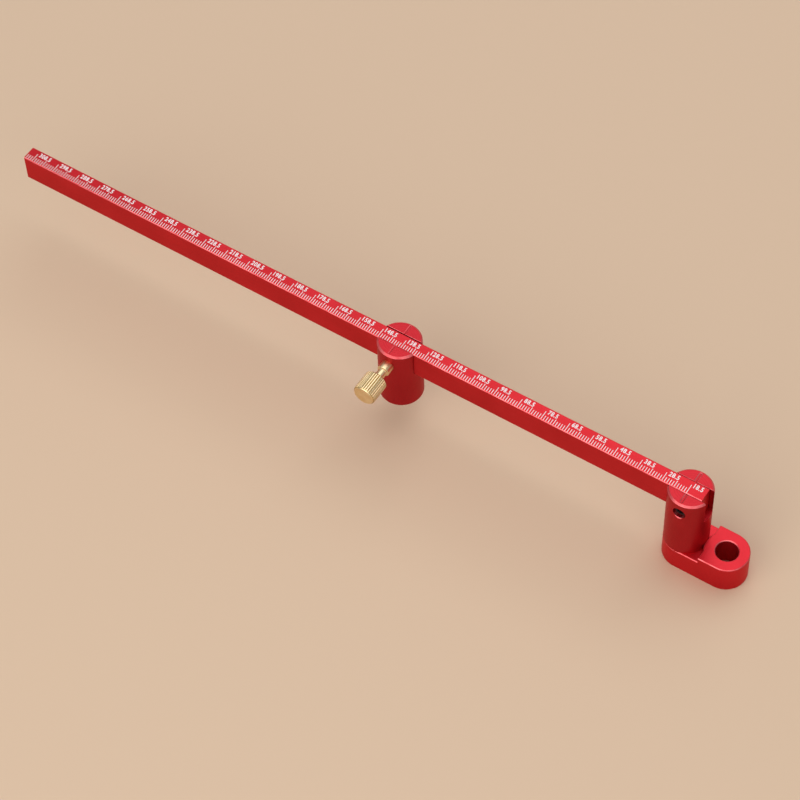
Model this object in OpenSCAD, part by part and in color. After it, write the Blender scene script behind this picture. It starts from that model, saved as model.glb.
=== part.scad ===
// Beam compass ruler: a square-edged beam with a millimetre scale, a holder for the drawing point clamped
// on one end, and a needle block that slides along the beam and is locked by a thumb screw.
// The origin is on the axis of the holder's bore, at table level. The beam runs towards -X, +Z is up.

/* [Beam] */
// Length of the beam
beam_len = 300; // [200:10:600]
// Width of the beam
beam_w = 6; // [4:0.5:10]
// Height of the beam
beam_h = 12; // [10:0.5:14]
// Height of the beam's top face above the table
beam_top = 41; // [38:0.5:46]
// Distance from the holder's bore to the near end of the beam
beam_start = 10.7; // [10:0.1:14]
// Chamfer along the edges of the beam
beam_edge = 0.3; // [0.1:0.05:0.6]

/* [Holder] */
// Distance from the holder's bore to the axis of the post
post_offset = 16.6; // [16:0.1:24]
// Diameter of the post
post_d = 16.8; // [15:0.1:17]
// How far the post's top lies below the beam's top face
post_drop = 0.2; // [0:0.1:1]
// Width of the foot
foot_w = 16.9; // [16.9:0.1:22]
// Height of the foot around the post
ledge_h = 10.5; // [6:0.5:12]
// Height of the foot around the bore
pad_h = 13; // [12:0.5:18]
// Gap between the post's side and the step up to the pad
step_gap = 0.9; // [0.5:0.1:1.5]
// Chamfer along the edges of the foot
foot_edge = 0.3; // [0.1:0.05:0.5]
// Diameter of the bore
bore_d = 8.6; // [6:0.1:12]

/* [Needle block] */
// Distance from the holder's bore to the needle, which is the radius that is set
block_at = 139.2; // [40:0.1:300]
// Diameter of the block
block_d = 17; // [15:0.5:20]
// Height of the block
block_h = 30.5; // [26:0.5:34]
// How far the block's top stands above the beam's top face
block_rise = 0.25; // [0:0.05:1]
// Diameter of the needle below the block
needle_d = 3; // [2:0.5:4]
// Length of the needle's conical point
needle_point = 4.5; // [3:0.5:8]
// Diameter of the needle's shank inside the block
shank_d = 4; // [3.5:0.5:6]
// Length of the needle's shank inside the block
shank_len = 12; // [6:1:14]

/* [Slots and cursors] */
// Clearance between the beam and each side of a slot
slot_gap = 0.15; // [0.05:0.05:0.3]
// Clearance between the beam and the floor of a slot
floor_gap = 0.05; // [0.02:0.01:0.1]
// Chamfer around the top of the post and the block
top_edge = 0.7; // [0.2:0.1:1]
// Chamfer along the lips of a slot
lip_edge = 0.1; // [0.1:0.05:0.4]
// Width of the cursor groove on the post
post_cursor_w = 1.4; // [0.6:0.1:2]
// Depth of the cursor groove on the post
post_cursor_depth = 0.3; // [0.1:0.05:0.4]
// Width of the cursor groove on the block
block_cursor_w = 0.9; // [0.4:0.1:2]
// Depth of the cursor groove on the block
block_cursor_depth = 0.15; // [0.1:0.05:0.4]
// Flat left between the end of a cursor groove and the chamfer
cursor_margin = 0.1; // [0.1:0.1:1]

/* [Screws] */
// Diameter of the screw holes
screw_d = 5; // [4:0.5:6]
// Clearance around a screw in its hole
screw_gap = 0.05; // [0.02:0.01:0.1]
// Clearance between a screw's tip and the beam
tip_gap = 0.05; // [0.02:0.01:0.1]
// Length of the grub screw
grub_len = 4; // [3:0.5:5]
// Width across the flats of the grub screw's socket
socket_w = 2.5; // [2:0.5:3]
// Depth of the grub screw's socket
socket_depth = 2.2; // [1.5:0.1:2.5]
// Thread of the thumb screw that shows outside the block
thread_show = 3.2; // [1:0.1:6]
// Diameter of the thumb screw's neck
neck_d = 3.5; // [3:0.1:4]
// Length of the thumb screw's neck
neck_len = 4; // [2:0.5:8]
// Diameter of the thumb screw's head
head_d = 9; // [7:0.5:14]
// Length of the thumb screw's head
head_len = 9; // [6:0.5:16]
// Number of knurls around the head
knurls = 30; // [18:1:48]
// Depth of the knurls
knurl_depth = 0.3; // [0.1:0.05:0.5]
// Chamfer at the ends of the head
head_edge = 0.6; // [0.4:0.1:1]

/* [Hidden] */
$fn = 96;
eps = 0.01;
beam_bottom = beam_top - beam_h;
slot_floor = beam_bottom - floor_gap;
slot_w = beam_w + 2 * slot_gap;
clamp_z = beam_top - beam_h / 2;
tip_y = -beam_w / 2 - tip_gap;
screw_r = screw_d / 2 - screw_gap;
screw_edge = 0.4;
mouth_edge = 0.3;
post_top = beam_top - post_drop;
step_x = post_d / 2 + step_gap - post_offset;
block_top = beam_top + block_rise;
block_bottom = block_top - block_h;
needle_tip_r = 0.15;
needle_run = block_bottom - needle_point;
red = [0.78, 0.09, 0.11];
black = [0.08, 0.08, 0.09];
steel = [0.72, 0.73, 0.75];
brass = [0.83, 0.68, 0.38];

// Upright round bar from z0 to z1 with a chamfer at either end
module round_bar(r, z0, z1, low, high) {
    rotate_extrude()
        polygon([[0, z0], [r - low, z0], [r, z0 + low], [r, z1 - high], [r - high, z1], [0, z1]]);
}

// Level bar of width w along X, from x0 to x1 and from z0 to z1, chamfered along its four edges
module edged_bar(w, x0, x1, z0, z1, edge) {
    h = w / 2;
    translate([x0, 0, 0])
        rotate([90, 0, 90])
            linear_extrude(x1 - x0)
                polygon([[edge - h, z0], [h - edge, z0], [h, z0 + edge], [h, z1 - edge],
                         [h - edge, z1], [edge - h, z1], [-h, z1 - edge], [-h, z0 + edge]]);
}

// Slot for the beam through a round piece of radius r, open at the top, with chamfered lips
module beam_slot(r, top) {
    h = slot_w / 2;
    lip = h + lip_edge;
    translate([-r - 1, 0, 0])
        rotate([90, 0, 90])
            linear_extrude(2 * r + 2)
                polygon([[-h, slot_floor], [h, slot_floor], [h, top - lip_edge], [lip, top], [lip, top + 1],
                         [-lip, top + 1], [-lip, top], [-h, top - lip_edge]]);
}

// Round-bottomed cursor groove across the top of a piece of radius r, with round ends
module cursor_groove(r, top, width, depth) {
    mill_r = (width * width / 4 + depth * depth) / (2 * depth);
    reach = r - top_edge - cursor_margin - width / 2;
    translate([0, 0, top - depth + mill_r]) {
        rotate([90, 0, 0])
            cylinder(r = mill_r, h = 2 * reach, center = true);
        for (side = [-1, 1])
            translate([0, side * reach, 0])
                sphere(r = mill_r);
    }
}

// Screw hole from the front face of a piece of radius r into its slot, with a chamfered mouth
module screw_hole(r) {
    translate([0, 0, clamp_z])
        rotate([90, 0, 0]) {
            cylinder(d = screw_d, h = r + 1);
            translate([0, 0, r - mouth_edge])
                cylinder(d1 = screw_d, d2 = screw_d + 4 * mouth_edge, h = 2 * mouth_edge);
        }
}

// Foot under the post, with round ends
module foot() {
    r = foot_w / 2;
    edged_bar(foot_w, -post_offset, 0, 0, ledge_h, foot_edge);
    for (x = [-post_offset, 0])
        translate([x, 0, 0])
            round_bar(r, 0, ledge_h, foot_edge, foot_edge);
}

// Raised pad around the bore, square where it faces the post
module pad() {
    difference() {
        edged_bar(foot_w, step_x, 0, 0, pad_h, foot_edge);
        translate([step_x, 0, pad_h])
            rotate([0, 45, 0])
                cube([foot_edge, foot_w + 1, foot_edge], center = true);
    }
    round_bar(foot_w / 2, 0, pad_h, foot_edge, foot_edge);
}

// Foot, pad and post in one machined piece, with the beam slot, the upright bore and a clamp hole
module pencil_holder() {
    post_r = post_d / 2;
    color(red)
        difference() {
            union() {
                foot();
                pad();
                translate([-post_offset, 0, 0])
                    round_bar(post_r, foot_edge, post_top, 0, top_edge);
            }
            translate([-post_offset, 0, 0]) {
                beam_slot(post_r, post_top);
                cursor_groove(post_r, post_top, post_cursor_w, post_cursor_depth);
                screw_hole(post_r);
            }
            translate([0, 0, -1])
                cylinder(d = bore_d, h = pad_h + 2);
            translate([0, 0, pad_h - foot_edge])
                cylinder(d1 = bore_d, d2 = bore_d + 4 * foot_edge, h = 2 * foot_edge);
        }
}

// Short socket-head grub screw, sunk in the post
module grub_screw() {
    color(black)
        translate([-post_offset, tip_y, clamp_z])
            rotate([90, 0, 0])
                difference() {
                    round_bar(screw_r, 0, grub_len, screw_edge, screw_edge);
                    translate([0, 0, grub_len - socket_depth])
                        cylinder(d = socket_w / cos(30), h = socket_depth + 1, $fn = 6);
                }
}

// Straight beam that carries the scale on its top face
module beam() {
    color(red)
        edged_bar(beam_w, -beam_start - beam_len, -beam_start, beam_bottom, beam_top, beam_edge);
}

// Round sliding block with the beam slot, a screw hole and a blind hole for the needle
module pivot_block() {
    block_r = block_d / 2;
    color(red)
        translate([-block_at, 0, 0])
            difference() {
                round_bar(block_r, block_bottom, block_top, top_edge, top_edge);
                beam_slot(block_r, block_top);
                cursor_groove(block_r, block_top, block_cursor_w, block_cursor_depth);
                screw_hole(block_r);
                translate([0, 0, block_bottom - 1])
                    cylinder(d = shank_d, h = shank_len + 1);
            }
}

// Hard needle that marks the centre, pressed into the block
module pivot_needle() {
    color(steel)
        translate([-block_at, 0, 0]) {
            cylinder(r1 = needle_tip_r, r2 = needle_d / 2, h = needle_point);
            translate([0, 0, needle_point])
                cylinder(d = needle_d, h = needle_run);
            translate([0, 0, block_bottom])
                cylinder(d = shank_d, h = shank_len);
        }
}

// Round head with straight knurls, standing on z = 0; a bar one knurl larger chamfers its ends
module knurled_head() {
    r = head_d / 2;
    edge = head_edge + knurl_depth;
    intersection() {
        round_bar(r + knurl_depth, 0, head_len, edge, edge);
        linear_extrude(head_len)
            polygon([for (i = [0 : 2 * knurls - 1])
                let (a = 180 * i / knurls, rim = i % 2 == 0 ? r : r - knurl_depth)
                [rim * cos(a), rim * sin(a)]]);
    }
}

// Thumb screw: plain-ended thread, turned-down neck and knurled head
module thumb_screw() {
    thread_len = block_d / 2 + thread_show + tip_y;
    color(brass)
        translate([-block_at, tip_y, clamp_z])
            rotate([90, 0, 0]) {
                round_bar(screw_r, 0, thread_len, screw_edge, screw_edge);
                translate([0, 0, thread_len - eps])
                    cylinder(d = neck_d, h = neck_len + 2 * eps);
                translate([0, 0, thread_len + neck_len])
                    knurled_head();
            }
}

pencil_holder();
grub_screw();
beam();
pivot_block();
pivot_needle();
thumb_screw();
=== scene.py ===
# %% [markdown]
# # A beam compass ruler
#
# This tool swings an arc about a needle. A slim beam carries a millimetre scale, a holder for the drawing
# point is clamped on one end of it, and a round block with the steel needle slides along it and is locked
# by a brass thumb screw.
#
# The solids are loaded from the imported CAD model, in metres, with the origin on the axis of the holder's
# bore at table level. Blender adds what the solids leave out: the finish of each surface, the scale, the
# screw threads and the light. No CAD part is moved or resized, so every new piece takes its place from
# the frame.

# %% Load the frame
import math

import bmesh
import bpy
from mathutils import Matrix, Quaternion, Vector


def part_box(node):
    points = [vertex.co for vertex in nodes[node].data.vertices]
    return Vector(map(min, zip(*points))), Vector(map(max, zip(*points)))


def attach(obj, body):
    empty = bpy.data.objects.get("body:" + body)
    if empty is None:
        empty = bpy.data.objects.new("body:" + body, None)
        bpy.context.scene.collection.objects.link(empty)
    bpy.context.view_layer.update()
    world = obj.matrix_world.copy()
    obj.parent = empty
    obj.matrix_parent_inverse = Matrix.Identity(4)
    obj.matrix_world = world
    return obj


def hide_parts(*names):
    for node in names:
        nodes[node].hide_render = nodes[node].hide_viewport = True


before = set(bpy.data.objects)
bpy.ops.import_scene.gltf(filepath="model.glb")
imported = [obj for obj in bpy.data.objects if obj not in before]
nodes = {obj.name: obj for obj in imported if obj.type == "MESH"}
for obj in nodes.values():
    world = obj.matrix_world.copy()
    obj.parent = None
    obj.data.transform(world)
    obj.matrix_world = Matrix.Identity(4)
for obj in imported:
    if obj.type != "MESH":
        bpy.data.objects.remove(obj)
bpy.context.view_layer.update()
print("CAD nodes:", sorted(nodes))

# %% [markdown]
# ## The camera
#
# A photograph is matched fastest by its camera: once lens, place and tilt agree, a wrong shape shows at
# once. The camera looks almost at the point of the needle from a good metre away, through a long lens, so
# that the beam hardly tapers. An azimuth of 0 looks along +Y. The roll turns the picture about the line
# of sight.

# %% Camera
needle_low, needle_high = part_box("pivot_needle")
needle_foot = Vector(((needle_low.x + needle_high.x) / 2, (needle_low.y + needle_high.y) / 2, 0))
camera_shift = Vector((-0.0019, 0.0011, 0))
camera_aim = needle_foot + camera_shift
camera_azimuth = math.radians(35.18)
camera_elevation = math.radians(54.81)
camera_roll = math.radians(-2.72)
camera_distance = 1.0579
camera_lens = 125.37

camera_side = Vector((
    math.sin(camera_azimuth) * math.cos(camera_elevation),
    -math.cos(camera_azimuth) * math.cos(camera_elevation),
    math.sin(camera_elevation),
))
camera_data = bpy.data.cameras.new("camera")
camera_data.lens = camera_lens
camera = bpy.data.objects.new("camera", camera_data)
camera.location = camera_aim + camera_side * camera_distance
camera.rotation_mode = "QUATERNION"
camera.rotation_quaternion = camera_side.to_track_quat("Z", "Y") @ Quaternion((0, 0, 1), camera_roll)
bpy.context.scene.collection.objects.link(camera)
bpy.context.scene.camera = camera
print("camera at", [round(c, 3) for c in camera.location])

# %% [markdown]
# ## Floor and studio light
#
# The tool lies on a plain, pale, warm floor. Metal shows what stands around it, so the lamps are large
# and soft: a broad one behind and above, which the top faces mirror, and two lower ones in front and on
# the right, which the chamfers mirror. The world fills the rest. Together they are set so that a colour
# renders about as it is written.

# %% Floor and studio light
floor_colour = (0.70, 0.51, 0.355, 1)
floor_size = 8
floor_gap = 0.00002
world_colour = (0.95, 0.97, 1.0, 1)
world_strength = 0.48
cool_light = (0.95, 0.98, 1.05)
warm_light = (1, 0.99, 0.98)


def lamp(name, direction, distance, size, radiance, colour):
    """A square soft lamp that looks at the needle from a direction, as bright as its radiance says."""
    data = bpy.data.lights.new(name, "AREA")
    data.shape = "SQUARE"
    data.size = size
    data.energy = radiance * math.pi * size * size
    data.color = colour
    soft_box = bpy.data.objects.new(name, data)
    towards = Vector(direction).normalized()
    soft_box.location = needle_foot + towards * distance
    soft_box.rotation_euler = towards.to_track_quat("Z", "Y").to_euler()
    bpy.context.scene.collection.objects.link(soft_box)


def plain_floor():
    """One large plane just under the foot."""
    bpy.ops.object.select_all(action="DESELECT")
    bpy.ops.mesh.primitive_plane_add(size=floor_size, location=(needle_foot.x, 0, -floor_gap))
    floor = bpy.context.object
    floor.name = "floor"
    material = bpy.data.materials.new("pale_floor")
    material.use_nodes = True
    shader = material.node_tree.nodes["Principled BSDF"]
    shader.inputs["Base Color"].default_value = floor_colour
    shader.inputs["Roughness"].default_value = 0.9
    shader.inputs["Specular IOR Level"].default_value = 0.1
    floor.data.materials.append(material)


world = bpy.data.worlds.new("studio")
world.use_nodes = True
world.node_tree.nodes["Background"].inputs["Color"].default_value = world_colour
world.node_tree.nodes["Background"].inputs["Strength"].default_value = world_strength
bpy.context.scene.world = world
bpy.context.scene.view_settings.view_transform = "Standard"
plain_floor()
lamp("lamp_behind", (-0.04, 0.50, 0.86), distance=1.5, size=1.4, radiance=1.42, colour=cool_light)
lamp("lamp_in_front", (-0.12, -0.83, 0.54), distance=1.3, size=1.3, radiance=1.6, colour=warm_light)
lamp("lamp_right", (0.66, -0.55, 0.51), distance=1.5, size=0.9, radiance=1.2, colour=warm_light)

# %% [markdown]
# ## Shared effects as node groups
#
# Several finishes need the same small effects, so each effect is a node group that is built once: the
# fine grain of a blasted surface, the straight marks that a cutter leaves, a slow drift of colour, and
# the worn and highlighted chamfers. A group only puts out values and colours. The shader stays in the
# material.

# %% Helpers for nodes


def add(tree, kind, **settings):
    """A new node in a tree, with its settings."""
    node = tree.nodes.new(kind)
    for key, value in settings.items():
        setattr(node, key, value)
    return node


def new_group(name, inputs, outputs):
    """An empty node group with named sockets: each input's type and start value, and each output's type."""
    group = bpy.data.node_groups.new(name, "ShaderNodeTree")
    for label, (kind, start) in inputs.items():
        group.interface.new_socket(label, in_out="INPUT", socket_type=kind).default_value = start
    for label, kind in outputs.items():
        group.interface.new_socket(label, in_out="OUTPUT", socket_type=kind)
    return group, add(group, "NodeGroupInput"), add(group, "NodeGroupOutput")


def place(tree, group, **values):
    """A node group placed in a material with its own values. Words in a socket's name are joined by _."""
    node = add(tree, "ShaderNodeGroup", node_tree=group)
    for label, value in values.items():
        node.inputs[label.replace("_", " ")].default_value = value
    return node


NUMBER = "NodeSocketFloat"
COLOUR = "NodeSocketColor"
VECTOR = "NodeSocketVector"
# A Mix node has one set of sockets for each kind of data, and these are the numbers of its colour sockets.
MIX_FIRST, MIX_SECOND, MIX_COLOUR = 6, 7, 2

# %% [markdown]
# ### Blasted grain
#
# Before it is dyed, the aluminium is blasted with fine beads, which leaves a satin skin of tiny dents. A
# noise texture at about the size of a bead gives both the bump and a small change in roughness from grain
# to grain.

# %% Blasted grain


def make_blasted_grain():
    group, given, made = new_group(
        "blasted_grain",
        {"Grains per metre": (NUMBER, 5000), "Smooth": (NUMBER, 0.3), "Rough": (NUMBER, 0.4)},
        {"Height": NUMBER, "Roughness": NUMBER},
    )
    place_in = add(group, "ShaderNodeTexCoord")
    grain = add(group, "ShaderNodeTexNoise")
    grain.inputs["Detail"].default_value = 2
    spread = add(group, "ShaderNodeMapRange")
    spread.inputs["From Min"].default_value = 0.3
    spread.inputs["From Max"].default_value = 0.7
    group.links.new(place_in.outputs["Object"], grain.inputs["Vector"])
    group.links.new(given.outputs["Grains per metre"], grain.inputs["Scale"])
    group.links.new(grain.outputs["Fac"], spread.inputs["Value"])
    group.links.new(given.outputs["Smooth"], spread.inputs["To Min"])
    group.links.new(given.outputs["Rough"], spread.inputs["To Max"])
    group.links.new(grain.outputs["Fac"], made.inputs["Height"])
    group.links.new(spread.outputs["Result"], made.inputs["Roughness"])
    return group


blasted_grain = make_blasted_grain()
print("group:", blasted_grain.name)

# %% [markdown]
# ### Cutter marks
#
# A milled or drawn face carries fine straight lines. The same noise is used, but its coordinates are
# squeezed in one direction, so that the grains become long streaks. The amount of squeeze along each axis
# is an input.

# %% Cutter marks


def make_cutter_marks():
    group, given, made = new_group(
        "cutter_marks",
        {"Lines per metre": (VECTOR, (30, 3000, 3000))},
        {"Height": NUMBER},
    )
    place_in = add(group, "ShaderNodeTexCoord")
    squeeze = add(group, "ShaderNodeVectorMath", operation="MULTIPLY")
    streaks = add(group, "ShaderNodeTexNoise")
    streaks.inputs["Scale"].default_value = 1
    streaks.inputs["Detail"].default_value = 3
    group.links.new(place_in.outputs["Object"], squeeze.inputs[0])
    group.links.new(given.outputs["Lines per metre"], squeeze.inputs[1])
    group.links.new(squeeze.outputs["Vector"], streaks.inputs["Vector"])
    group.links.new(streaks.outputs["Fac"], made.inputs["Height"])
    return group


cutter_marks = make_cutter_marks()
print("group:", cutter_marks.name)

# %% [markdown]
# ### Turning rings
#
# On a lathe the tool creeps along while the work spins, so it leaves rings about the axis: one inside the
# other on the ends, and around the sides. The noise is therefore read at only two numbers, the distance
# from the axis and the distance along it. The group is told where the axis is, which two directions lie
# across it, and how much of the distance along it counts: with none, the sides stay plain.

# %% Turning rings


def make_turning_rings():
    group, given, made = new_group(
        "turning_rings",
        {"Axis": (VECTOR, (0, 0, 0)), "Across": (VECTOR, (1, 1, 0)), "Sides": (NUMBER, 0),
         "Rings per metre": (NUMBER, 1500)},
        {"Radius": NUMBER, "Height": NUMBER},
    )
    place_in = add(group, "ShaderNodeTexCoord")
    centred = add(group, "ShaderNodeVectorMath", operation="SUBTRACT")
    outward = add(group, "ShaderNodeVectorMath", operation="MULTIPLY")
    along = add(group, "ShaderNodeVectorMath", operation="SUBTRACT")
    radius = add(group, "ShaderNodeVectorMath", operation="LENGTH")
    level = add(group, "ShaderNodeVectorMath", operation="LENGTH")
    counted = add(group, "ShaderNodeMath", operation="MULTIPLY")
    both = add(group, "ShaderNodeCombineXYZ")
    rings = add(group, "ShaderNodeTexNoise", noise_dimensions="2D")
    group.links.new(place_in.outputs["Object"], centred.inputs[0])
    group.links.new(given.outputs["Axis"], centred.inputs[1])
    group.links.new(centred.outputs["Vector"], outward.inputs[0])
    group.links.new(given.outputs["Across"], outward.inputs[1])
    group.links.new(centred.outputs["Vector"], along.inputs[0])
    group.links.new(outward.outputs["Vector"], along.inputs[1])
    group.links.new(outward.outputs["Vector"], radius.inputs[0])
    group.links.new(along.outputs["Vector"], level.inputs[0])
    group.links.new(radius.outputs["Value"], both.inputs["X"])
    group.links.new(level.outputs["Value"], counted.inputs[0])
    group.links.new(given.outputs["Sides"], counted.inputs[1])
    group.links.new(counted.outputs["Value"], both.inputs["Y"])
    group.links.new(both.outputs["Vector"], rings.inputs["Vector"])
    group.links.new(given.outputs["Rings per metre"], rings.inputs["Scale"])
    group.links.new(radius.outputs["Value"], made.inputs["Radius"])
    group.links.new(rings.outputs["Fac"], made.inputs["Height"])
    return group


turning_rings = make_turning_rings()
print("group:", turning_rings.name)

# %% [markdown]
# ### Worn and highlighted chamfers
#
# Dye is thinnest, and wear strongest, along the broken edges, and the chamfers also catch the lamps, so the
# paler red there is partly wear and partly a painted highlight. All the chamfers here stand at 45 degrees,
# so the surface's own normal says where an edge is: its upright part is about 0.71 there, and 0 or 1 on
# the large faces. The walls of the cursor grooves lie flatter, so the mask reaches up to 0.93. A coarse
# noise breaks it up, so that the wear and highlight aren't even.

# %% Worn and highlighted chamfers
chamfer_upright = 0.77
chamfer_spread = 0.16


def make_chamfer_wear_and_highlight():
    group, given, made = new_group(
        "chamfer_wear_and_highlight",
        {"Amount": (NUMBER, 0.5), "Patches per metre": (NUMBER, 250)},
        {"Mask": NUMBER},
    )
    place_in = add(group, "ShaderNodeTexCoord")
    parts = add(group, "ShaderNodeSeparateXYZ")
    upright = add(group, "ShaderNodeMath", operation="ABSOLUTE")
    near = add(group, "ShaderNodeMath", operation="COMPARE")
    near.inputs[1].default_value = chamfer_upright
    near.inputs[2].default_value = chamfer_spread
    patches = add(group, "ShaderNodeTexNoise")
    uneven = add(group, "ShaderNodeMapRange")
    uneven.inputs["From Min"].default_value = 0.3
    uneven.inputs["From Max"].default_value = 0.65
    uneven.inputs["To Min"].default_value = 0.35
    both = add(group, "ShaderNodeMath", operation="MULTIPLY")
    scaled = add(group, "ShaderNodeMath", operation="MULTIPLY")
    group.links.new(place_in.outputs["Normal"], parts.inputs["Vector"])
    group.links.new(parts.outputs["Z"], upright.inputs[0])
    group.links.new(upright.outputs["Value"], near.inputs[0])
    group.links.new(place_in.outputs["Object"], patches.inputs["Vector"])
    group.links.new(given.outputs["Patches per metre"], patches.inputs["Scale"])
    group.links.new(patches.outputs["Fac"], uneven.inputs["Value"])
    group.links.new(near.outputs["Value"], both.inputs[0])
    group.links.new(uneven.outputs["Result"], both.inputs[1])
    group.links.new(both.outputs["Value"], scaled.inputs[0])
    group.links.new(given.outputs["Amount"], scaled.inputs[1])
    group.links.new(scaled.outputs["Value"], made.inputs["Mask"])
    return group


chamfer_wear_and_highlight = make_chamfer_wear_and_highlight()
print("group:", chamfer_wear_and_highlight.name)

# %% [markdown]
# ### Colour drift
#
# No dyed or turned surface has one even colour. A slow noise mixes the main colour with a second one.

# %% Colour drift


def make_colour_drift():
    group, given, made = new_group(
        "colour_drift",
        {"Main": (COLOUR, (1, 1, 1, 1)), "Second": (COLOUR, (0, 0, 0, 1)),
         "Patches per metre": (NUMBER, 60)},
        {"Color": COLOUR},
    )
    place_in = add(group, "ShaderNodeTexCoord")
    patches = add(group, "ShaderNodeTexNoise")
    patches.inputs["Detail"].default_value = 3
    share = add(group, "ShaderNodeMapRange")
    share.inputs["From Min"].default_value = 0.35
    share.inputs["From Max"].default_value = 0.7
    mixed = add(group, "ShaderNodeMix", data_type="RGBA")
    group.links.new(place_in.outputs["Object"], patches.inputs["Vector"])
    group.links.new(given.outputs["Patches per metre"], patches.inputs["Scale"])
    group.links.new(patches.outputs["Fac"], share.inputs["Value"])
    group.links.new(share.outputs["Result"], mixed.inputs["Factor"])
    group.links.new(given.outputs["Main"], mixed.inputs[MIX_FIRST])
    group.links.new(given.outputs["Second"], mixed.inputs[MIX_SECOND])
    group.links.new(mixed.outputs[MIX_COLOUR], made.inputs["Color"])
    return group


colour_drift = make_colour_drift()
print("group:", colour_drift.name)

# %% [markdown]
# ## The finishes
#
# Each finish is one function that returns a material. Numbers that are the same all over a surface are
# set on the shader itself, and only what changes over the surface comes through nodes.

# %% Helpers for finishes


def blank_finish(name):
    """A new material, its node tree and its shader."""
    material = bpy.data.materials.new(name)
    material.use_nodes = True
    tree = material.node_tree
    return material, tree, tree.nodes["Principled BSDF"]


def mix_colours(tree, mask, first, second):
    """The socket of a colour that goes from the first socket to a fixed second colour where a mask is 1."""
    mix = add(tree, "ShaderNodeMix", data_type="RGBA")
    tree.links.new(mask, mix.inputs["Factor"])
    tree.links.new(first, mix.inputs[MIX_FIRST])
    mix.inputs[MIX_SECOND].default_value = second
    return mix.outputs[MIX_COLOUR]


def dent(tree, height, depth, under=None):
    """A bump of a real depth in metres, on top of another bump if there is one."""
    bump = add(tree, "ShaderNodeBump")
    bump.inputs["Distance"].default_value = depth
    tree.links.new(height, bump.inputs["Height"])
    if under:
        tree.links.new(under, bump.inputs["Normal"])
    return bump.outputs["Normal"]


def paint(material, *pieces):
    """Gives pieces one material in place of all they had."""
    for piece in pieces:
        piece.data.materials.clear()
        piece.data.materials.append(material)
        print(material.name, "on", piece.name)


# %% [markdown]
# ### Red anodised aluminium
#
# Anodising grows a clear, hard skin on aluminium, and the skin takes up dye. What is seen is bare metal
# through red glass: the reflections themselves are red, and a faint white gloss lies on top. So the
# shader is a metal with a red base colour under a thin coat. The dye is a little deeper in the machining
# marks. Along the chamfers the red is painted paler, partly as wear and partly as a painted highlight.

# %% Reds
head_red = (0.58, 0.018, 0.027, 1)
head_red_deep = (0.49, 0.011, 0.018, 1)
beam_red = (0.64, 0.019, 0.028, 1)
beam_red_deep = (0.55, 0.012, 0.018, 1)
# Paler red for the chamfers: partly wear, partly a painted highlight.
worn_and_highlight_red = (0.95, 0.22, 0.23, 1)
edge_red = (0.9, 0.35, 0.35, 1)
print("heads", head_red[:3], "beam", beam_red[:3])

# %% [markdown]
# ### Marks of the lathe and the die
#
# The heads are turned and then blasted, so faint rings stay on their tops, about the axis of each. One
# material serves both, and a comparison along X says which head a point belongs to. The beam is drawn
# through a die, so its lines run along it.

# %% Marks of the lathe and the die
clamp_low, clamp_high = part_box("grub_screw")
post_axis = Vector(((clamp_low.x + clamp_high.x) / 2, 0, 0))
head_reach = 0.0084
no_mark = 0.5


def head_rings(tree):
    """The height of turning rings on the post, or on the block where that is nearer. The foot has none."""
    where = add(tree, "ShaderNodeTexCoord")
    parts = add(tree, "ShaderNodeSeparateXYZ")
    at_block = add(tree, "ShaderNodeMath", operation="LESS_THAN")
    at_block.inputs[1].default_value = (post_axis.x + needle_foot.x) / 2
    axis = add(tree, "ShaderNodeVectorMath", operation="MULTIPLY_ADD")
    axis.inputs[1].default_value = needle_foot - post_axis
    axis.inputs[2].default_value = post_axis
    rings = place(tree, turning_rings, Rings_per_metre=2200)
    on_head = add(tree, "ShaderNodeMath", operation="LESS_THAN")
    on_head.inputs[1].default_value = head_reach
    swing = add(tree, "ShaderNodeMath", operation="SUBTRACT")
    swing.inputs[1].default_value = no_mark
    height = add(tree, "ShaderNodeMath", operation="MULTIPLY_ADD")
    height.inputs[2].default_value = no_mark
    tree.links.new(where.outputs["Object"], parts.inputs["Vector"])
    tree.links.new(parts.outputs["X"], at_block.inputs[0])
    tree.links.new(at_block.outputs["Value"], axis.inputs[0])
    tree.links.new(axis.outputs["Vector"], rings.inputs["Axis"])
    tree.links.new(rings.outputs["Radius"], on_head.inputs[0])
    tree.links.new(rings.outputs["Height"], swing.inputs[0])
    tree.links.new(swing.outputs["Value"], height.inputs[0])
    tree.links.new(on_head.outputs["Value"], height.inputs[1])
    return height.outputs["Value"]


def beam_lines(tree):
    """The height of the lines that drawing leaves along the beam."""
    return place(tree, cutter_marks, Lines_per_metre=(8, 3500, 3500)).outputs["Height"]


# %% [markdown]
# ### Painted light and shade on the red
#
# The sides of the post and the block are painted darker, as painted shade, and the foot's top and sides
# are painted lighter, as painted light. The place and the normal of a point say which of them it is on,
# and each has a tone, a factor for the red.

# %% Painted light and shade on the red
ledge_height = 0.0106
pad_start = -0.0075
side_slope = 0.3
# Painted shade darkens the heads' sides; painted light brightens the foot's top and sides.
painted_side_shade = 0.84
painted_foot_side_light = 1.22
painted_foot_top_light = 1.16


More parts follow.
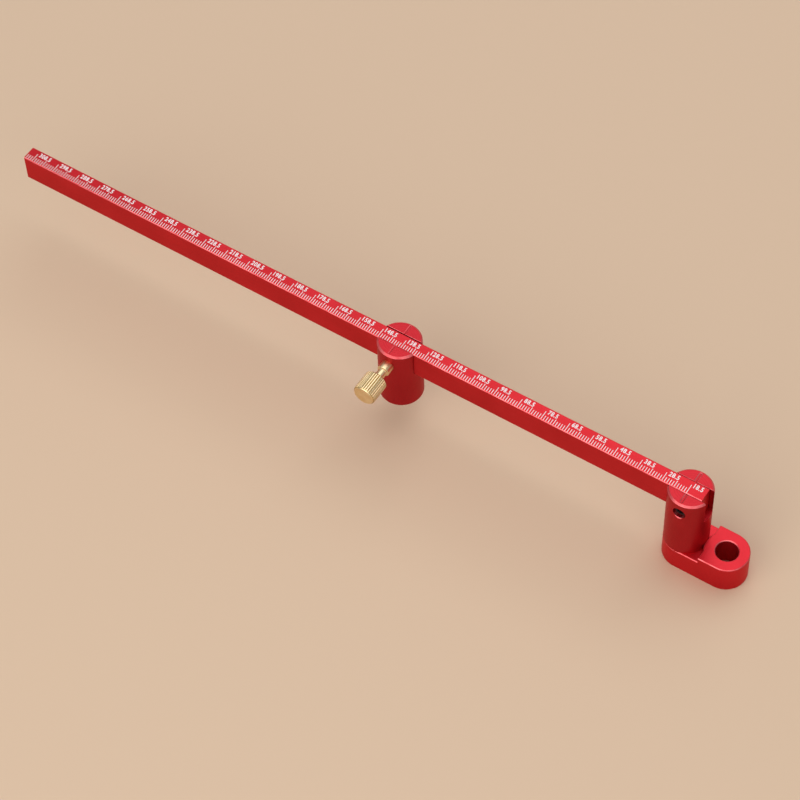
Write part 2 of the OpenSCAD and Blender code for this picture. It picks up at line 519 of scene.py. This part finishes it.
def painted_light_factors(tree):
    """A factor for the red: 1 on the heads' tops, painted shade on their sides, painted light on the foot.
    """
    where = add(tree, "ShaderNodeTexCoord")
    place_parts = add(tree, "ShaderNodeSeparateXYZ")
    normal_parts = add(tree, "ShaderNodeSeparateXYZ")
    on_ledge = add(tree, "ShaderNodeMath", operation="LESS_THAN")
    on_ledge.inputs[1].default_value = ledge_height
    on_pad = add(tree, "ShaderNodeMath", operation="GREATER_THAN")
    on_pad.inputs[1].default_value = pad_start
    on_foot = add(tree, "ShaderNodeMath", operation="MAXIMUM")
    on_side = add(tree, "ShaderNodeMath", operation="COMPARE")
    on_side.inputs[1].default_value = 0
    on_side.inputs[2].default_value = side_slope
    top = add(tree, "ShaderNodeMapRange")
    top.inputs["To Min"].default_value = 1
    top.inputs["To Max"].default_value = painted_foot_top_light
    side = add(tree, "ShaderNodeMapRange")
    side.inputs["To Min"].default_value = painted_side_shade
    side.inputs["To Max"].default_value = painted_foot_side_light
    tone = add(tree, "ShaderNodeMapRange")
    tree.links.new(where.outputs["Object"], place_parts.inputs["Vector"])
    tree.links.new(where.outputs["Normal"], normal_parts.inputs["Vector"])
    tree.links.new(place_parts.outputs["Z"], on_ledge.inputs[0])
    tree.links.new(place_parts.outputs["X"], on_pad.inputs[0])
    tree.links.new(on_ledge.outputs["Value"], on_foot.inputs[0])
    tree.links.new(on_pad.outputs["Value"], on_foot.inputs[1])
    tree.links.new(normal_parts.outputs["Z"], on_side.inputs[0])
    tree.links.new(on_foot.outputs["Value"], top.inputs["Value"])
    tree.links.new(on_foot.outputs["Value"], side.inputs["Value"])
    tree.links.new(on_side.outputs["Value"], tone.inputs["Value"])
    tree.links.new(top.outputs["Result"], tone.inputs["To Min"])
    tree.links.new(side.outputs["Result"], tone.inputs["To Max"])
    return tone.outputs["Result"]


# %% [markdown]
# ### The red finish
#
# The two red finishes share one function. Each gives it two reds, its own machining marks with their
# depth in metres, and the share of deeper dye that the marks hold.

# %% The red finish
mark_crest = 0.58
mark_floor = 0.4


def red_anodised(name, red, deep_red, marks, mark_dye, mark_depth, grain_depth, light_and_shade=None):
    """A red anodised finish with one kind of machining marks, and with painted light and shade if it is
    given them.
    """
    material, tree, shader = blank_finish(name)
    shader.inputs["Metallic"].default_value = 0.9
    shader.inputs["Specular Tint"].default_value = edge_red
    shader.inputs["Coat Weight"].default_value = 0.23
    shader.inputs["Coat Roughness"].default_value = 0.3
    drift = place(tree, colour_drift, Main=red, Second=deep_red, Patches_per_metre=55)
    wear_and_highlight = place(tree, chamfer_wear_and_highlight, Amount=0.8)
    grain = place(tree, blasted_grain, Grains_per_metre=5500, Smooth=0.36, Rough=0.5)
    height = marks(tree)
    low = add(tree, "ShaderNodeMapRange")
    low.inputs["From Min"].default_value = mark_crest
    low.inputs["From Max"].default_value = mark_floor
    low.inputs["To Max"].default_value = mark_dye
    tree.links.new(height, low.inputs["Value"])
    streaked = mix_colours(tree, low.outputs["Result"], drift.outputs["Color"], deep_red)
    # Painted light and shade: the red is scaled by a factor that differs from area to area.
    if light_and_shade:
        lit_and_shaded = add(tree, "ShaderNodeVectorMath", operation="SCALE")
        tree.links.new(streaked, lit_and_shaded.inputs["Vector"])
        tree.links.new(light_and_shade(tree), lit_and_shaded.inputs["Scale"])
        streaked = lit_and_shaded.outputs["Vector"]
    # The chamfers are painted paler: partly wear, partly a painted highlight.
    colour = mix_colours(tree, wear_and_highlight.outputs["Mask"], streaked, worn_and_highlight_red)
    tree.links.new(colour, shader.inputs["Base Color"])
    tree.links.new(grain.outputs["Roughness"], shader.inputs["Roughness"])
    grained = dent(tree, grain.outputs["Height"], grain_depth)
    tree.links.new(dent(tree, height, mark_depth, grained), shader.inputs["Normal"])
    return material


# The heads get painted light and shade: darker sides on the post and block, a lighter foot.
anodised_heads = red_anodised("anodised_heads_satin", head_red, head_red_deep, head_rings,
                              mark_dye=0.8, mark_depth=1.5e-5, grain_depth=1.8e-5, light_and_shade=painted_light_factors)
anodised_beam = red_anodised("anodised_beam_satin", beam_red, beam_red_deep, beam_lines,
                             mark_dye=0.5, mark_depth=4e-6, grain_depth=9e-6)
paint(anodised_heads, nodes["pencil_holder"], nodes["pivot_block"])
paint(anodised_beam, nodes["beam"])

# %% [markdown]
# ### Turned brass
#
# The thumb screw is turned from bar, so every face of it carries fine rings about its own axis. The
# bottoms of the knurls are out of reach of fingers and polish, so the colour goes darker with the
# distance from the crests.

# %% Turned brass
screw_low, screw_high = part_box("thumb_screw")
screw_axis = (screw_low + screw_high) / 2
knurl_crest = (screw_high.x - screw_low.x) / 2
knurl_depth = 0.0003
brass = (0.86, 0.68, 0.40, 1)
brass_deep = (0.78, 0.58, 0.30, 1)
brass_tarnish = (0.42, 0.27, 0.09, 1)
tarnish_share = 0.9
tarnish_start = knurl_crest - 0.15 * knurl_depth
tarnish_full = knurl_crest - knurl_depth
knurl_foot = knurl_crest - 1.2 * knurl_depth
brass_ring_depth = 6e-6


def turned_brass(name):
    """Brass with turning rings about the screw's axis, tarnished between the knurls."""
    material, tree, shader = blank_finish(name)
    shader.inputs["Metallic"].default_value = 1
    rings = place(tree, turning_rings, Axis=screw_axis, Across=(1, 0, 1), Sides=1, Rings_per_metre=3500)
    groove = add(tree, "ShaderNodeMapRange")
    groove.inputs["From Min"].default_value = tarnish_start
    groove.inputs["From Max"].default_value = tarnish_full
    groove.inputs["To Max"].default_value = tarnish_share
    tree.links.new(rings.outputs["Radius"], groove.inputs["Value"])
    knurled = add(tree, "ShaderNodeMath", operation="GREATER_THAN")
    knurled.inputs[1].default_value = knurl_foot
    tree.links.new(rings.outputs["Radius"], knurled.inputs[0])
    dirty = add(tree, "ShaderNodeMath", operation="MULTIPLY")
    tree.links.new(groove.outputs["Result"], dirty.inputs[0])
    tree.links.new(knurled.outputs["Value"], dirty.inputs[1])
    drift = place(tree, colour_drift, Main=brass, Second=brass_deep, Patches_per_metre=300)
    colour = mix_colours(tree, dirty.outputs["Value"], drift.outputs["Color"], brass_tarnish)
    tree.links.new(colour, shader.inputs["Base Color"])
    grain = place(tree, blasted_grain, Grains_per_metre=2500, Smooth=0.27, Rough=0.39)
    tree.links.new(grain.outputs["Roughness"], shader.inputs["Roughness"])
    tree.links.new(dent(tree, rings.outputs["Height"], brass_ring_depth), shader.inputs["Normal"])
    return material


brass_finish = turned_brass("turned_brass_rings")
paint(brass_finish, nodes["thumb_screw"])

# %% [markdown]
# ### Needle steel and black steel
#
# The needle is ground to its point, which leaves fine rings down its length. The grub screw is blacked in
# hot salts, a thin dark skin that stays a little uneven.

# %% Needle steel and black steel
steel = (0.62, 0.63, 0.65, 1)
steel_dull = (0.48, 0.48, 0.50, 1)
grinding_depth = 2e-6
black = (0.028, 0.028, 0.03, 1)
black_brown = (0.05, 0.045, 0.04, 1)
oxide_depth = 4e-6


def ground_steel(name):
    """Bright steel with fine grinding rings around the upright needle."""
    material, tree, shader = blank_finish(name)
    shader.inputs["Metallic"].default_value = 1
    drift = place(tree, colour_drift, Main=steel, Second=steel_dull, Patches_per_metre=400)
    grain = place(tree, blasted_grain, Grains_per_metre=3000, Smooth=0.18, Rough=0.3)
    marks = place(tree, cutter_marks, Lines_per_metre=(200, 200, 9000))
    tree.links.new(drift.outputs["Color"], shader.inputs["Base Color"])
    tree.links.new(grain.outputs["Roughness"], shader.inputs["Roughness"])
    tree.links.new(dent(tree, marks.outputs["Height"], grinding_depth), shader.inputs["Normal"])
    return material


def black_oxide(name):
    """Steel under a thin dark skin that is a little uneven."""
    material, tree, shader = blank_finish(name)
    shader.inputs["Metallic"].default_value = 0.8
    drift = place(tree, colour_drift, Main=black, Second=black_brown, Patches_per_metre=700)
    grain = place(tree, blasted_grain, Grains_per_metre=6000, Smooth=0.38, Rough=0.55)
    tree.links.new(drift.outputs["Color"], shader.inputs["Base Color"])
    tree.links.new(grain.outputs["Roughness"], shader.inputs["Roughness"])
    tree.links.new(dent(tree, grain.outputs["Height"], oxide_depth), shader.inputs["Normal"])
    return material


steel_finish = ground_steel("ground_steel")
black_finish = black_oxide("black_oxide")
paint(steel_finish, nodes["pivot_needle"])
paint(black_finish, nodes["grub_screw"])

# %% [markdown]
# ### Scale white
#
# The lines and figures of the scale are burnt into the dyed skin and come out near white, a little grainy.

# %% Scale white
white = (0.92, 0.86, 0.84, 1)
white_pink = (0.84, 0.70, 0.68, 1)
burn_depth = 3e-6


def scale_white(name):
    """A matt, slightly grainy white."""
    material, tree, shader = blank_finish(name)
    shader.inputs["Specular IOR Level"].default_value = 0.3
    drift = place(tree, colour_drift, Main=white, Second=white_pink, Patches_per_metre=900)
    grain = place(tree, blasted_grain, Grains_per_metre=9000, Smooth=0.5, Rough=0.7)
    tree.links.new(drift.outputs["Color"], shader.inputs["Base Color"])
    tree.links.new(grain.outputs["Roughness"], shader.inputs["Roughness"])
    tree.links.new(dent(tree, grain.outputs["Height"], burn_depth), shader.inputs["Normal"])
    return material


marking_white = scale_white("scale_white")
print("material:", marking_white.name)

# %% [markdown]
# ## Working in millimetres
#
# The operators' own limits, such as the distance at which points count as one, suit sizes near 1 better
# than sizes near 0.001. So each new piece is modelled in millimetres, where the frame says, and shrunk to
# metres when it is done. Its object then sits at the origin, unturned and unscaled, as a CAD node's does.

# %% Helpers for pieces
MM = 1000
join_distance = 0.0005


def alone():
    """Deselects everything, so that an operator acts on the next new piece alone."""
    bpy.ops.object.select_all(action="DESELECT")


def only(piece):
    """Makes one piece the selected and active one."""
    alone()
    piece.select_set(True)
    bpy.context.view_layer.objects.active = piece


def set_here(piece):
    """Puts a piece's place, turn and scale into its mesh."""
    only(piece)
    bpy.ops.object.transform_apply(location=True, rotation=True, scale=True)


def use(piece, kind, **settings):
    """Adds a modifier with its settings and applies it at once."""
    only(piece)
    modifier = piece.modifiers.new(kind.lower(), kind)
    for key, value in settings.items():
        setattr(modifier, key, value)
    bpy.ops.object.modifier_apply(modifier=modifier.name)


def pick(piece, kind, test):
    """In edit mode, selects the verts, edges or faces for which the test holds."""
    bpy.ops.mesh.select_mode(type={"verts": "VERT", "edges": "EDGE", "faces": "FACE"}[kind])
    bpy.ops.mesh.select_all(action="DESELECT")
    shape = bmesh.from_edit_mesh(piece.data)
    for part in getattr(shape, kind):
        part.select_set(test(part))
    bmesh.update_edit_mesh(piece.data)


def hand_in(piece, name, body, material, smooth_angle=35):
    """Shrinks a piece to metres, names and paints it, and lets it ride on its body."""
    piece.scale = (1 / MM, 1 / MM, 1 / MM)
    set_here(piece)
    bpy.ops.object.shade_smooth_by_angle(angle=math.radians(smooth_angle))
    piece.name = name
    piece.data.name = name
    paint(material, piece)
    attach(piece, body)
    print(name, "has", len(piece.data.polygons), "faces")


# %% [markdown]
# ## The scale's lines
#
# Each line starts at the front edge of the beam's top face. Every fifth line is longer and every tenth is
# longest. One line of each length is modelled as a very thin plate with a rounded far end, and Array
# modifiers repeat it along the beam: four short ones in a row, then that row every 5 mm. The scale
# belongs to the beam: its first line, which reads 18.5, lies a set distance from the beam's near end, and
# the readings grow towards -X.

# %% The scale's lines
beam_low, beam_high = (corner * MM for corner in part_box("beam"))
beam_chamfer = 0.3
first_reading = 18.5
first_line_inset = 6.3
first_line = beam_high.x - first_line_inset
line_step = 1
row_step = 5 * line_step
lines_in_row = 4
figure_step = 10 * line_step
line_width = 0.26
line_thickness = 0.04
line_rounding = 0.4 * line_width
line_foot = beam_low.y + beam_chamfer
short_line = 2.0
middle_line = 2.6
long_line = 3.8
decades = int((first_line - beam_low.x) // figure_step)


def along(reading):
    """Where a reading lies along the X axis."""
    return first_line + first_reading - reading


def scale_line(length, reading):
    """One line at a reading: a thin plate, half sunk in the beam, with a rounded far end."""
    alone()
    middle = line_foot + length / 2
    bpy.ops.mesh.primitive_cube_add(size=1, location=(along(reading), middle, beam_high.z),
                                    scale=(line_width, length, line_thickness))
    line = bpy.context.object
    set_here(line)
    bpy.ops.object.mode_set(mode="EDIT")
    far = line_foot + length - line_width / 10
    pick(line, "edges", lambda edge: all(v.co.y > far for v in edge.verts)
         and abs(edge.verts[0].co.z - edge.verts[1].co.z) > line_thickness / 2)
    bpy.ops.mesh.bevel(offset=line_rounding, segments=2)
    bpy.ops.object.mode_set(mode="OBJECT")
    return line


def repeat(piece, step, count):
    """Repeats a piece along the beam, towards larger readings."""
    use(piece, "ARRAY", count=count, use_relative_offset=False, use_constant_offset=True,
        constant_offset_displace=(-step, 0, 0))


def trim_past_beam(piece):
    """Deletes the lines that would lie past the far end of the beam."""
    only(piece)
    bpy.ops.object.mode_set(mode="EDIT")
    pick(piece, "faces", lambda face: face.calc_center_median().x < beam_low.x + line_width / 2)
    bpy.ops.mesh.delete(type="FACE")
    bpy.ops.object.mode_set(mode="OBJECT")


short_lines = scale_line(short_line, first_reading + line_step)
repeat(short_lines, line_step, lines_in_row)
repeat(short_lines, row_step, 2 * decades + 1)
trim_past_beam(short_lines)
middle_lines = scale_line(middle_line, first_reading + row_step)
repeat(middle_lines, figure_step, decades)
long_lines = scale_line(long_line, first_reading)
repeat(long_lines, figure_step, decades + 1)
hand_in(short_lines, "scale_lines_1mm", "beam", marking_white)
hand_in(middle_lines, "scale_lines_5mm", "beam", marking_white)
hand_in(long_lines, "scale_lines_10mm", "beam", marking_white)

# %% [markdown]
# ## The scale's figures
#
# A figure stands behind each long line, on its right: 18.5, 28.5 and so on. Text objects are made with
# Blender's own font, fattened a little by their offset, given a thickness, and turned into meshes. The
# real figures are narrow, so each text is squeezed to the width that the first one measures on the tool.

# %% The scale's figures
figure_height = 2.05
figure_squeeze = 0.80
figure_foot = 0.15
figure_gap = 0.97
figure_fat = 0.03
figure_spacing = 1.14


def figure(reading):
    """A number as a thin solid behind the long line at its reading."""
    alone()
    bpy.ops.object.text_add()
    text = bpy.context.object
    text.data.body = f"{reading:.1f}"
    text.data.size = 1
    text.data.offset = figure_fat
    text.data.space_character = figure_spacing
    text.data.resolution_u = 3
    text.data.extrude = line_thickness / 2
    bpy.ops.object.convert(target="MESH")
    number = bpy.context.object
    tall = max(v.co.y for v in number.data.vertices) - min(v.co.y for v in number.data.vertices)
    left = min(v.co.x for v in number.data.vertices)
    low = min(v.co.y for v in number.data.vertices)
    grow = figure_height / tall
    number.scale = (grow * figure_squeeze, grow, 1)
    figure_left = along(reading) + figure_gap - left * grow * figure_squeeze
    number.location = (figure_left, figure_foot - low * grow, beam_high.z)
    set_here(number)
    return number


figures = [figure(first_reading + figure_step * k) for k in range(decades + 1)]
alone()
for number in figures:
    number.select_set(True)
scale_figures = figures[0]
bpy.context.view_layer.objects.active = scale_figures
bpy.ops.object.join()
bpy.ops.object.mode_set(mode="EDIT")
bpy.ops.mesh.select_all(action="SELECT")
bpy.ops.mesh.remove_doubles(threshold=join_distance)
bpy.ops.object.mode_set(mode="OBJECT")
hand_in(scale_figures, "scale_figures", "beam", marking_white)

# %% [markdown]
# ## Drawing an outline and turning it
#
# Round parts are made on a lathe, and Blender's Screw modifier works like one: it turns an outline about
# the Z axis. The outline is drawn as with a pen. A plane is merged to a single point, and the point is
# extruded from corner to corner. Each corner is given as a radius and a height, so the numbers can be
# read off a drawing.

# %% Outlines and turned solids
turning_steps = 64


def outline(corners):
    """A chain of edges through corners, each a radius and a height."""
    alone()
    bpy.ops.mesh.primitive_plane_add(size=1, location=(corners[0][0], 0, corners[0][1]))
    chain = bpy.context.object
    set_here(chain)
    bpy.ops.object.mode_set(mode="EDIT")
    bpy.ops.mesh.select_mode(type="VERT")
    bpy.ops.mesh.select_all(action="SELECT")
    bpy.ops.mesh.merge(type="CENTER")
    for (radius, height), (next_radius, next_height) in zip(corners, corners[1:]):
        step = (next_radius - radius, 0, next_height - height)
        bpy.ops.mesh.extrude_region_move(TRANSFORM_OT_translate={"value": step})
    bpy.ops.object.mode_set(mode="OBJECT")
    return chain


def close_up(piece):
    """Merges points that lie on each other and turns all faces outwards."""
    only(piece)
    bpy.ops.object.mode_set(mode="EDIT")
    bpy.ops.mesh.select_all(action="SELECT")
    bpy.ops.mesh.remove_doubles(threshold=join_distance)
    bpy.ops.mesh.normals_make_consistent(inside=False)
    bpy.ops.object.mode_set(mode="OBJECT")


def turned(corners):
    """A solid of revolution about Z, from an outline that starts and ends on the axis."""
    solid = outline(corners)
    use(solid, "SCREW", angle=math.tau, steps=turning_steps, render_steps=turning_steps)
    close_up(solid)
    return solid


def combine(piece, other, operation):
    """Adds, cuts or intersects a piece with another solid, which is used up."""
    use(piece, "BOOLEAN", operation=operation, object=other, solver="EXACT")
    bpy.data.objects.remove(other)
    close_up(piece)


# %% [markdown]
# ## A threaded rod
#
# Both screws have a metric thread of 5 mm with a pitch of 0.8 mm. The outline of one thread, from root to
# root, climbs one pitch in each turn. It ends exactly where the next turn starts, so the turns merge into
# one helical skin. Two bisect cuts with fill give it flat ends, and a chamfered blank takes the sharp
# start off, as a die does.

# %% A threaded rod
pitch = 0.8
thread_crest = 2.42
thread_root = 1.96
root_flat = pitch / 4
crest_flat = pitch / 8
flank = (pitch - root_flat - crest_flat) / 2
thread_chamfer = 0.45
thread_steps = 40
spare_turns = 2
spare = 0.3
sink = 0.01


def cut_level(height, **side):
    """In edit mode, cuts everything at a height, closes the cut and clears one side of it."""
    bpy.ops.mesh.select_all(action="SELECT")
    bpy.ops.mesh.bisect(plane_co=(0, 0, height), plane_no=(0, 0, 1), use_fill=True, **side)


def threaded_rod(length, top_chamfer):
    """A rod with a right-hand thread on z = 0, chamfered at its foot and, if asked, at its top."""
    start = -spare_turns * pitch
    crest_start = start + root_flat + flank
    rod = outline([(thread_root, start), (thread_root, start + root_flat), (thread_crest, crest_start),
                   (thread_crest, crest_start + crest_flat), (thread_root, start + pitch)])
    turns = math.ceil(length / pitch) + 2 * spare_turns
    use(rod, "SCREW", angle=math.tau, screw_offset=pitch, iterations=turns,
        steps=thread_steps, render_steps=thread_steps)
    close_up(rod)
    bpy.ops.object.mode_set(mode="EDIT")
    cut_level(-spare, clear_inner=True)
    cut_level(length + spare, clear_outer=True)
    bpy.ops.object.mode_set(mode="OBJECT")
    close_up(rod)
    wide = thread_crest + spare
    low = thread_crest - thread_chamfer
    blank = [(0, 0), (low, 0), (wide, wide - low)]
    if top_chamfer:
        blank += [(wide, length - wide + low), (low, length), (0, length)]
    else:
        blank += [(wide, length), (0, length)]
    combine(rod, turned(blank), "INTERSECT")
    return rod


# %% [markdown]
# ## The thumb screw
#
# Behind its thread the real screw has a smooth collar, a thinner neck and a round head with straight
# knurls, all cut from one brass bar. The knurls are pressed in first and the ends are chamfered after, so
# the chamfer trims the knurls. The head is therefore made in that order: a cylinder of four points for
# each knurl, whose groove points are pulled in, is intersected with a chamfered blank. Then thread, shank
# and head are joined into one solid.

# %% The thumb screw
thumb_tip = screw_high.y * MM
thumb_length = (screw_high.y - screw_low.y) * MM
head_radius = knurl_crest * MM
head_length = 9
neck_length = 4
neck_radius = 1.75
collar_radius = 2.45
collar_chamfer = 0.25
neck_fillet = 0.5
fillet_steps = 6
knurls = 30
points_per_knurl = 4
groove_depth = knurl_depth * MM
groove_shoulder = 0.2 * groove_depth
head_chamfer = 0.6
head_foot = thumb_length - head_length
collar_end = head_foot - neck_length
block_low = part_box("pivot_block")[0] * MM
collar_inset = 0.307
collar_foot = thumb_tip - block_low.y - collar_inset


def fillet(radius, height, size, up):
    """Corners of a quarter round that runs from a flat at a height into a neck of a radius, or back."""
    angles = [math.radians(90 * k / fillet_steps) for k in range(fillet_steps + 1)]
    run = [(radius + size - size * math.sin(a), height + size - size * math.cos(a)) for a in angles]
    return run if up else [(r, 2 * height - z) for r, z in reversed(run)]


def plain_shank():
    """Collar and neck, with rounded corners at both ends of the neck."""
    corners = [(0, collar_foot), (collar_radius, collar_foot)]
    corners += [(collar_radius, collar_end - collar_chamfer), (collar_radius - collar_chamfer, collar_end)]
    corners += fillet(neck_radius, collar_end, neck_fillet, True)
    corners += fillet(neck_radius, head_foot + sink, neck_fillet, False)
    corners += [(neck_radius + neck_fillet, head_foot + spare), (0, head_foot + spare)]
    return turned(corners)


def place_in_knurl(vertex):
    """The number of a point in its knurl: 0 is the crest, and 2 lies in the groove."""
    turn = math.atan2(vertex.co.y, vertex.co.x) / math.tau
    return round(turn * points_per_knurl * knurls) % points_per_knurl


def knurled_head():
    """A round head with straight knurls, chamfered at both ends."""
    alone()
    bpy.ops.mesh.primitive_cylinder_add(vertices=points_per_knurl * knurls, radius=head_radius,
                                        depth=head_length + 2 * spare,
                                        location=(0, 0, head_foot + head_length / 2))
    head = bpy.context.object
    set_here(head)
    bpy.ops.object.mode_set(mode="EDIT")
    for places, depth in (((2,), groove_depth), ((1, 3), groove_shoulder)):
        pick(head, "verts", lambda vertex: place_in_knurl(vertex) in places)
        keep = 1 - depth / head_radius
        bpy.ops.transform.resize(value=(keep, keep, 1), center_override=(0, 0, 0))
    bpy.ops.object.mode_set(mode="OBJECT")
    wide = head_radius + spare
    low = head_radius - head_chamfer
    top = head_foot + head_length
    blank = turned([(0, head_foot), (low, head_foot), (wide, head_foot + wide - low),
                    (wide, top - wide + low), (low, top), (0, top)])
    combine(head, blank, "INTERSECT")
    return head


thumb = threaded_rod(collar_foot + spare, False)
combine(thumb, plain_shank(), "UNION")
combine(thumb, knurled_head(), "UNION")
thumb.rotation_euler.x = math.radians(90)
thumb.location = (screw_axis.x * MM, thumb_tip, screw_axis.z * MM)
set_here(thumb)
hand_in(thumb, "thumb_screw_knurled", "thumb", brass_finish)
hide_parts("thumb_screw")

# %% [markdown]
# ## The grub screw
#
# The grub screw is a short threaded rod with a hexagon socket. Only its end shows, deep in the hole. The
# socket is cut by a six-sided cylinder, whose foot is drawn to a point as the drill that starts the
# socket leaves it.

# %% The grub screw
grub_low, grub_high = (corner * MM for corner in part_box("grub_screw"))
grub_length = grub_high.y - grub_low.y
socket_across = 2.5
socket_depth = 2.2
socket_point = 0.6
facing_down = -0.9


def hexagon_tool():
    """The shape of the socket's hole: a six-sided prism that ends in a point below."""
    alone()
    radius = socket_across / 2 / math.cos(math.radians(30))
    reach = socket_depth + spare
    bpy.ops.mesh.primitive_cylinder_add(vertices=6, radius=radius, depth=reach,
                                        location=(0, 0, grub_length - socket_depth + reach / 2))
    tool = bpy.context.object
    set_here(tool)
    bpy.ops.object.mode_set(mode="EDIT")
    pick(tool, "faces", lambda face: face.normal.z < facing_down)
    bpy.ops.mesh.extrude_region_move(TRANSFORM_OT_translate={"value": (0, 0, -socket_point)})
    bpy.ops.mesh.merge(type="CENTER")
    bpy.ops.object.mode_set(mode="OBJECT")
    return tool


grub = threaded_rod(grub_length, True)
combine(grub, hexagon_tool(), "DIFFERENCE")
grub.rotation_euler.x = math.radians(90)
grub.location = ((grub_low.x + grub_high.x) / 2, grub_high.y, (grub_low.z + grub_high.z) / 2)
set_here(grub)
hand_in(grub, "grub_screw_threaded", "grub", black_finish)
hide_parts("grub_screw")
